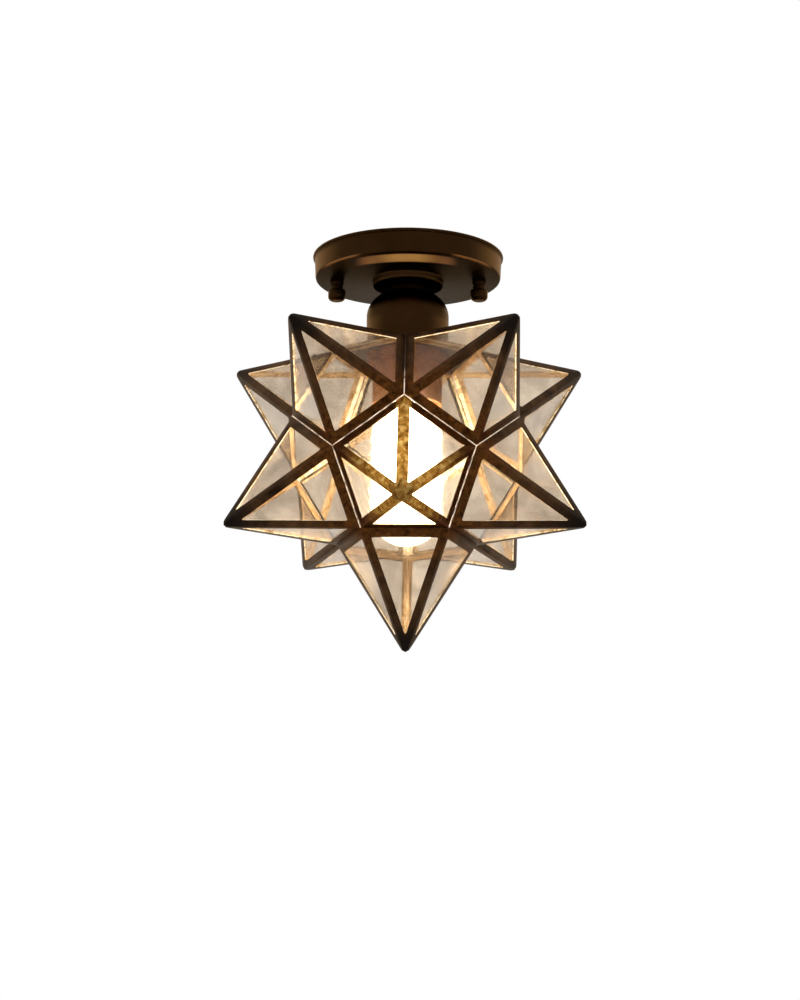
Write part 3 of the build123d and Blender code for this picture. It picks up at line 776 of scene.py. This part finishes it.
# %% Aim a point at its face of the star
def point_place(turn, lift):
    """Matrix that moves a point from the XY plane to its face of the star."""
    axis = direction(turn, lift)
    corner = direction(turn, lift + (90 if -90 < lift < 0 else -90))
    turned = Matrix((corner, axis.cross(corner), axis)).transposed().to_4x4()
    return Matrix.Translation(star_centre + axis * face_distance) @ turned


fifth = 360 / 5
point_aims = {
    "bottom": (0, -90), "lower_front": (0, -ring_lift), "lower_right": (fifth, -ring_lift),
    "lower_back_right": (2 * fifth, -ring_lift), "lower_back_left": (-2 * fifth, -ring_lift),
    "lower_left": (-fifth, -ring_lift), "upper_front_right": (fifth / 2, ring_lift),
    "door": (1.5 * fifth, ring_lift), "upper_back": (2.5 * fifth, ring_lift),
    "upper_left": (-1.5 * fifth, ring_lift), "upper_front_left": (-fifth / 2, ring_lift),
}
print("points to place:", ", ".join(point_aims))


# %% Place a folded point on every face
def new_piece(name, bm, *finishes):
    """Makes the bmesh an object of its own, with its place in its mesh."""
    mesh = bpy.data.meshes.new(name)
    bm.to_mesh(mesh)
    bm.free()
    for finish in finishes:
        mesh.materials.append(finish)
    piece = bpy.data.objects.new(name, mesh)
    bpy.context.scene.collection.objects.link(piece)
    return piece


def stand_in(bm, node, *finishes):
    """Makes the bmesh a piece that rides with the node's body and is shown in its place."""
    piece = new_piece(f"{node}_piece", bm, *finishes)
    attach(piece, body_of[node])
    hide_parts(node)


for point, aim in point_aims.items():
    copy = template.copy()
    bmesh.ops.transform(copy, matrix=point_place(*aim), verts=copy.verts)
    stand_in(copy, f"frame_{point}", frame_finish, gold_finish)
template.free()
print("points placed:", len(point_aims))

# %% [markdown]
# ## Spun metal and the bulb
# The canopy, cup, collar and nuts are turned about one axis on the real light, and so they are here: a
# few corner points give the section, one full spin turns it, and a bevel rounds each ring of corners by
# its own radius. A Screw modifier could turn the section too, but its rings could not be rounded one by
# one. The bulb is made the same way. Its round end is only one corner with a large bevel.

# %% Spin helper
same_ring = 0.01 * mm
same_point = 0.001 * mm
smooth_turned = radians(35)
steps_per_mm, fewest_steps, most_steps = 2, 3, 14


def ring_edges(bm, radius, height):
    """The edges of a spun mesh that lie on one ring of corners."""
    def on_ring(vert):
        off_radius = abs(hypot(vert.co.x, vert.co.y) - radius)
        return max(off_radius, abs(vert.co.z - height)) < same_ring
    return [edge for edge in bm.edges if all(on_ring(vert) for vert in edge.verts)]


def spun(section, closed, steps=96):
    """A mesh spun about Z from (radius, height, rounding) corners in millimetres."""
    bm = bmesh.new()
    corners = [bm.verts.new((radius * mm, 0, height * mm)) for radius, height, _ in section]
    pairs = list(zip(corners, corners[1:])) + ([(corners[-1], corners[0])] if closed else [])
    edges = [bm.edges.new(pair) for pair in pairs]
    bmesh.ops.spin(bm, geom=corners + edges, cent=(0, 0, 0), axis=(0, 0, 1), dvec=(0, 0, 0), angle=2 * pi,
                   steps=steps, use_merge=True)
    bmesh.ops.remove_doubles(bm, verts=bm.verts, dist=same_point)
    bmesh.ops.recalc_face_normals(bm, faces=bm.faces)
    for radius, height, rounding in section:
        if rounding:
            segments = max(fewest_steps, min(most_steps, int(rounding * steps_per_mm)))
            bmesh.ops.bevel(bm, geom=ring_edges(bm, radius * mm, height * mm), offset=rounding * mm,
                            offset_type="OFFSET", segments=segments, profile=0.5, affect="EDGES",
                            material=-1, clamp_overlap=True)
    for face in bm.faces:
        face.smooth = True
    for edge in bm.edges:
        edge.smooth = edge.calc_face_angle(0) < smooth_turned
    return bm


print("spin helper ready")

# %% Canopy
canopy_low, canopy_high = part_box("canopy")
rim = canopy_high.x / mm
boss_face = canopy_low.z / mm
boss_depth, canopy_sheet, rim_bead = 5, 1.0, 1.1
canopy_foot, boss, tube_hole = 58.5, 22.5, 5.4
canopy_floor = boss_face + boss_depth
wall = rim - rim_bead
floor_inside, boss_inside = canopy_floor + canopy_sheet, boss_face + canopy_sheet

canopy_bm = spun([
    (wall - canopy_sheet, 0, 0), (rim, 0, 1.0), (rim, -2 * rim_bead, 1.0), (wall, -2 * rim_bead, 0.4),
    (canopy_foot, canopy_floor, 1.3), (boss, canopy_floor, 1.0), (boss, boss_face, 2.0),
    (tube_hole, boss_face, 0), (tube_hole, boss_inside, 0), (boss - canopy_sheet, boss_inside, 1.0),
    (boss - canopy_sheet, floor_inside, 0), (canopy_foot - canopy_sheet, floor_inside, 0.3),
    (wall - canopy_sheet, -2 * rim_bead, 0),
], closed=True, steps=128)
print("canopy faces:", len(canopy_bm.faces))
stand_in(canopy_bm, "canopy", canopy_finish)

# %% Neck collar
collar_low, collar_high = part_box("neck_collar")
neck, collar_top, collar_foot = collar_high.x / mm, collar_high.z / mm, collar_low.z / mm
collar_bm = spun([
    (tube_hole, collar_top, 0), (neck, collar_top, 0.8),
    (neck, collar_foot, 0.8), (tube_hole, collar_foot, 0),
], closed=True)
print("collar faces:", len(collar_bm.faces))
stand_in(collar_bm, "neck_collar", canopy_finish)

# %% Cup
cup_low, cup_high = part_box("cup")
cup_wall, cup_top, cup_foot = cup_high.x / mm, cup_high.z / mm, cup_low.z / mm
cup_shoulder, cup_sheet, dome_steps = 15.0, 1.0, 12


def dome(radius, flat, top, drop):
    """Corners of a cup's shoulder, from its straight wall up to its flat top, on one arc."""
    arc = ((radius - flat) ** 2 + drop ** 2) / (2 * (radius - flat))
    angles = [asin(drop / arc) * step / dome_steps for step in range(dome_steps + 1)]
    return [(radius - arc + arc * cos(angle), top - drop + arc * sin(angle), 0) for angle in angles]


outer = dome(cup_wall, neck, cup_top, cup_shoulder)
inner = dome(cup_wall - cup_sheet, neck - cup_sheet / 2, cup_top - cup_sheet, cup_shoulder - cup_sheet)
cup_bm = spun([
    (cup_wall - cup_sheet, cup_foot, 0), (cup_wall, cup_foot, 0.3), *outer, (tube_hole, cup_top, 0),
    (tube_hole, cup_top - cup_sheet, 0), *reversed(inner),
], closed=True)
print("cup faces:", len(cup_bm.faces))
stand_in(cup_bm, "cup", canopy_finish)

# %% Cap nuts
nut_bore, nut_flange, nut_waist = 2.05, 4.3, 3.8
flange_depth, waist_depth, bore_depth = 3.2, 6.4, 8.3
for side in ("left", "right"):
    low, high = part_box(f"cap_nut_{side}")
    top, end, knob = high.z / mm, low.z / mm, (high.x - low.x) / 2 / mm
    nut_bm = spun([
        (nut_bore, top, 0), (nut_flange, top, 0.2), (nut_flange, top - flange_depth, 0.4),
        (nut_waist, top - flange_depth, 0), (nut_waist, top - waist_depth, 0),
        (knob, top - waist_depth, 0.8), (knob, end, 2.8), (0, end, 0),
        (0, top - bore_depth, 0), (nut_bore, top - bore_depth, 0),
    ], closed=True, steps=48)
    bmesh.ops.translate(nut_bm, verts=nut_bm.verts, vec=((low.x + high.x) / 2, 0, 0))
    stand_in(nut_bm, f"cap_nut_{side}", canopy_finish)
print("cap nuts turned")

# %% Bulb
bulb_low, bulb_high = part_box("bulb_glass")
bulb_radius, bulb_top, bulb_end = bulb_high.x / mm, bulb_high.z / mm, bulb_low.z / mm
bulb_neck, neck_length, shoulder_length = 13.2, 3, 15
end_round = 0.97 * bulb_radius
bulb_bm = spun([
    (0, bulb_top, 0), (bulb_neck, bulb_top, 0), (bulb_neck, bulb_top - neck_length, 3.0),
    (bulb_radius, bulb_top - shoulder_length, 4.0), (bulb_radius, bulb_end, end_round), (0, bulb_end, 0),
], closed=False, steps=64)
print("bulb faces:", len(bulb_bm.faces))
stand_in(bulb_bm, "bulb_glass", bulb_finish)

# %% [markdown]
# ## Seams between the points
# Where two points meet, a bead of clear sealant closes the seam. Its pale colour and faint glow are
# painted light from the lamp inside, so the valleys of the star show as thin pale lines; near the top
# plate painted shade turns them dark. Round the lowest point the seams are dark, because they are run
# full of solder and blackened with the frames. The point that opens has no bead, only a gap. The lines
# could be painted on the frames, but a slim rod with rounded ends shows from every side.

# %% Sealant
# Heights where painted shade darkens the seams near the top plate.
seam_shade_height = (-96 * mm, -89 * mm)

sealant, tree, output, place = new_finish("seam sealant")
patina = mottled(tree, place, size=160, contrast=4.0)
# Painted light: a pale seam colour that stands in for the lamp's light.
pale = ramp(tree, patina["Blotches"], (0.0, (0.2, 0.14, 0.09)), (0.4, (0.7, 0.56, 0.42)),
            (1.0, (1.0, 0.88, 0.72)))
painted_shade = soft_step(tree, apart(tree, place)[2], *seam_shade_height)
seam_colour = blend(tree, painted_shade, pale, (0.03, 0.016, 0.008))
# The seams glow faintly of their own, painted light though they are no lamp.
surface(tree, output, {
    "Base Color": seam_colour, "Roughness": spread(tree, patina["Grain"], 0.2, 0.4),
    "Emission Color": seam_colour, "Emission Strength": 0.1,
})
print("finish:", sealant.name)

# %% One bead
edge_length = 2 * base_inradius * tan(pi / 5)
edge_distance = face_distance / sin(atan(golden))


def bead(bm, first, second, radius, lift):
    """One rod along the edge that two faces of the star share, at a lift above that edge."""
    out, along = (first + second).normalized(), first.cross(second).normalized()
    made = bmesh.ops.create_cone(bm, cap_ends=True, segments=10, radius1=radius, radius2=radius,
                                 depth=edge_length - radius)["verts"]
    rims = [edge for edge in bm.edges
            if edge.verts[0] in made and abs(edge.verts[0].co.z - edge.verts[1].co.z) < radius]
    seat = Matrix((out, along.cross(out), along)).transposed().to_4x4()
    seat.translation = star_centre + out * (edge_distance + lift)
    bmesh.ops.transform(bm, matrix=seat, verts=made)
    bmesh.ops.bevel(bm, geom=rims, offset=radius / 2, offset_type="OFFSET", segments=2, profile=0.5,
                    affect="EDGES", material=-1)


print("seams are", round(edge_length / mm, 1), "mm long")

# %% Lay the beads
neighbour_cosine = 0.4


def lay_beads(name, pairs, radius, lift, finish):
    """A piece of beads along the valleys between pairs of points; it stays with the fixture."""
    bm = bmesh.new()
    for first, second in pairs:
        bead(bm, direction(*point_aims[first]), direction(*point_aims[second]), radius, lift)
    for face in bm.faces:
        face.smooth = True
    piece = new_piece(name, bm, finish)
    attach(piece, body_of["solder_tacks"])


def neighbours(first, second):
    """Whether two points share an edge of the star: then the cosine between them is near 0.447."""
    return direction(*point_aims[first]).dot(direction(*point_aims[second])) > neighbour_cosine


valleys = [pair for pair in combinations(point_aims, 2) if "door" not in pair and neighbours(*pair)]
lowest = [pair for pair in valleys if "bottom" in pair]
others = [pair for pair in valleys if "bottom" not in pair]
lay_beads("seam_sealant", others, radius=0.32 * mm, lift=0.3 * mm, finish=sealant)
lay_beads("bottom_seam_solder", lowest, radius=0.6 * mm, lift=0.2 * mm, finish=frame_finish)
print("sealant beads:", len(others), "solder beads:", len(lowest))

# %% [markdown]
# ## Stage, light and camera
# The light hangs in front of plain white. The world is white only for rays that the camera, a reflection
# or a pane sends out, and dimmer as a light source, so the white never floods the metal. One large soft
# lamp on the left shapes the canopy, and a weaker one fills from the right. Both are hidden from the
# camera, from reflections and from the panes, which would show them as white squares. The floor lies a
# room's height below, so that views from below stay above it.

# %% Floor
floor_drop = 2.4
floor_size = 60.0

floor_bm = bmesh.new()
bmesh.ops.create_grid(floor_bm, x_segments=1, y_segments=1, size=floor_size / 2)
bmesh.ops.translate(floor_bm, verts=floor_bm.verts, vec=(0, 0, -floor_drop))
floor_finish, tree, output, place = new_finish("pale floor")
clouds = mottled(tree, place, size=3, contrast=1.0)
surface(tree, output, {
    "Base Color": blend(tree, clouds["Blotches"], (0.88, 0.88, 0.87), (0.9, 0.9, 0.89)), "Roughness": 0.85,
})
floor = new_piece("floor", floor_bm, floor_finish)
print("floor at", -floor_drop, "m")

# %% World
world = bpy.data.worlds.new("white studio")
bpy.context.scene.world = world
world.use_nodes = True
tree = world.node_tree
tree.nodes.clear()
rays = add(tree, "ShaderNodeLightPath").outputs
seen = most(tree, rays["Is Camera Ray"], rays["Is Glossy Ray"], rays["Is Transmission Ray"])
ambient = add(tree, "ShaderNodeBackground", {"Color": (1.0, 0.98, 0.95, 1), "Strength": 0.8})
white = add(tree, "ShaderNodeBackground", {"Color": (1, 1, 1, 1), "Strength": 1.0})
either = add(tree, "ShaderNodeMixShader", {0: seen, 1: ambient.outputs[0], 2: white.outputs[0]})
add(tree, "ShaderNodeOutputWorld", {"Surface": either.outputs[0]})
print("world:", world.name)


# %% Soft lamps
def soft_lamp(name, place, size, power, colour):
    """A square soft lamp, aimed at the star and seen only by the light that it casts."""
    lamp = bpy.data.lights.new(name, "AREA")
    lamp.size = size
    lamp.energy = power
    lamp.color = colour
    holder = bpy.data.objects.new(name, lamp)
    bpy.context.scene.collection.objects.link(holder)
    holder.location = place
    holder.rotation_euler = (star_centre - Vector(place)).to_track_quat("-Z", "Y").to_euler()
    holder.visible_camera = False
    holder.visible_glossy = False
    holder.visible_transmission = False


soft_lamp("key", place=(-1.3, -1.5, 0.5), size=1.1, power=16, colour=(1.0, 0.96, 0.9))
soft_lamp("fill", place=(1.5, -1.2, -0.2), size=0.9, power=5, colour=(1.0, 0.97, 0.93))
print("lamps: key and fill")

# %% Camera of the photograph
photo_width, photo_height = 800, 1000
focal_pixels = 2892.3
middle_pixel = Vector((406.8, 447.2))
camera_distance = 1.8056
camera_turn, camera_lift, camera_roll = 1.43, -14.19, 0.41

camera_data = bpy.data.cameras.new("camera")
camera_data.sensor_width = 36
camera_data.lens = focal_pixels / photo_height * camera_data.sensor_width
camera_data.shift_x = (photo_width / 2 - middle_pixel.x) / photo_height
camera_data.shift_y = (middle_pixel.y - photo_height / 2) / photo_height
camera = bpy.data.objects.new("camera", camera_data)
bpy.context.scene.collection.objects.link(camera)
camera.location = star_centre + direction(camera_turn, camera_lift) * camera_distance
camera_aim = (star_centre - camera.location).to_track_quat("-Z", "Y").to_matrix()
camera.rotation_euler = (camera_aim @ Matrix.Rotation(radians(camera_roll), 3, "Z")).to_euler()
bpy.context.scene.camera = camera
bpy.context.scene.view_settings.view_transform = "Standard"
print("camera", round(camera_distance, 3), "m away, lens", round(camera_data.lens, 1), "mm")
